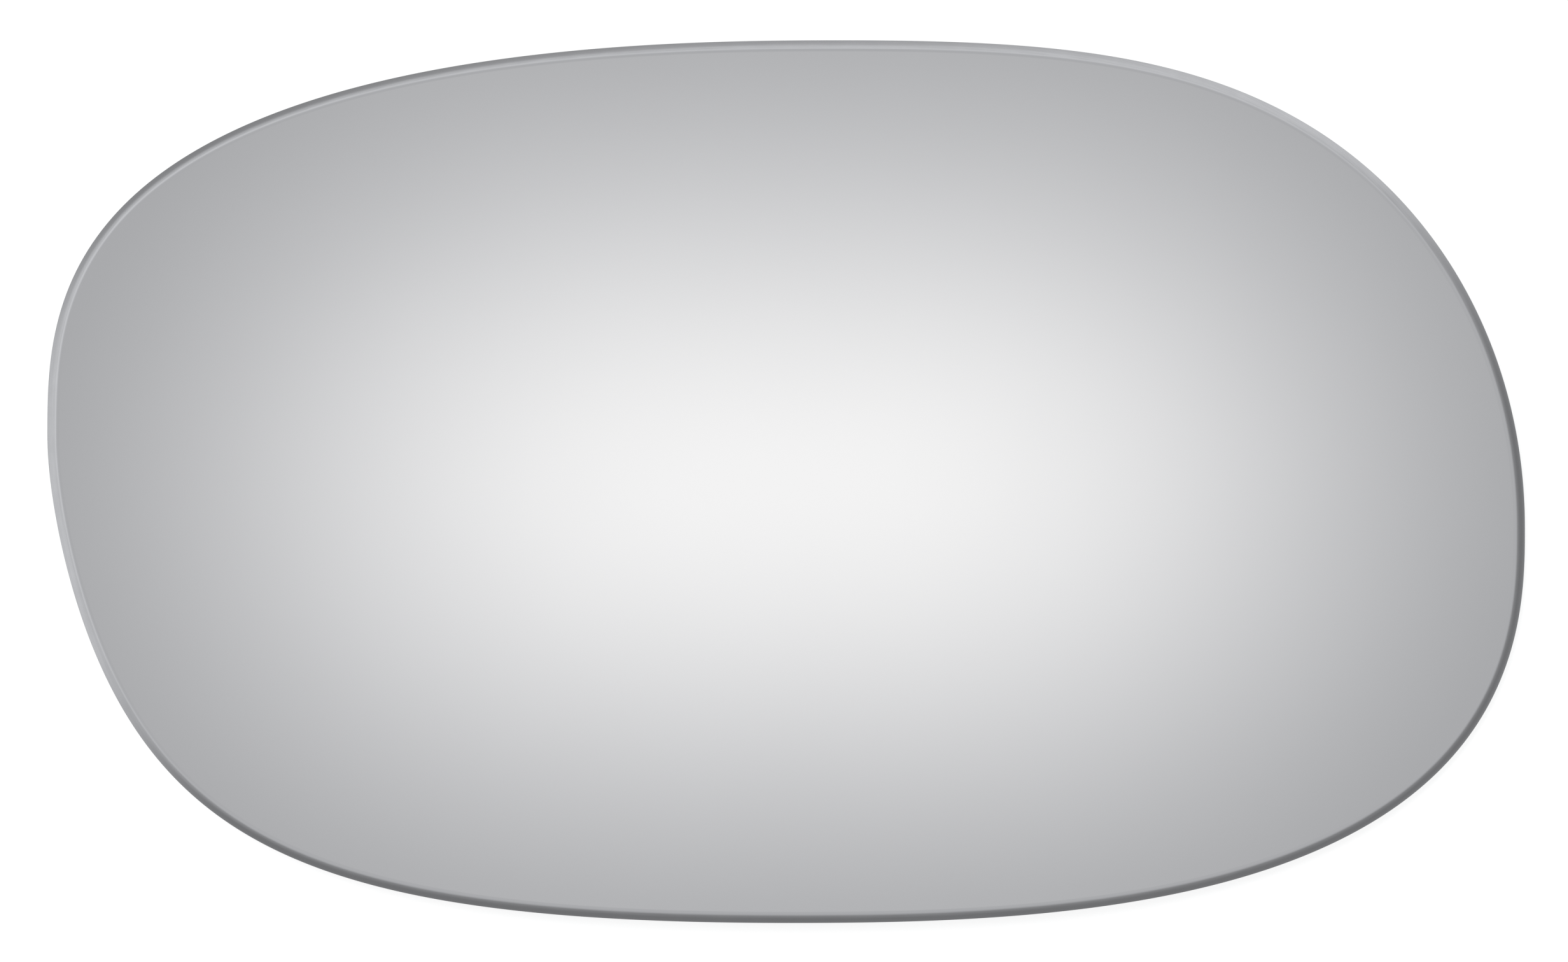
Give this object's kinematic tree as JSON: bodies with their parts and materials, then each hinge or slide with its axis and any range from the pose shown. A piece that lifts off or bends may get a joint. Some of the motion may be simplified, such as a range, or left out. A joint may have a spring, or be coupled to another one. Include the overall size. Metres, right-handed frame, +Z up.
{
  "type": "car door mirror glass",
  "caption": "Convex glass for a car door mirror: a bent, silvered pane cut to a free oval, with a ground bevel round its face, bonded to its carrier by the back.",
  "frame": {"origin": "on the surface that the glass lies on, below the middle of its outline", "axes": "+Z up, out of the mirror face; +X to the right and +Y to the top of the glass as a driver sees it"},
  "size_m": [0.175, 0.1042, 0.0048],
  "materials": {
    "mirror_glass": "polished silvered face with a satin ground edge"
  },
  "bodies": {
    "root": {"mirror_glass": "mirror_glass"}
  },
  "joints": []
}
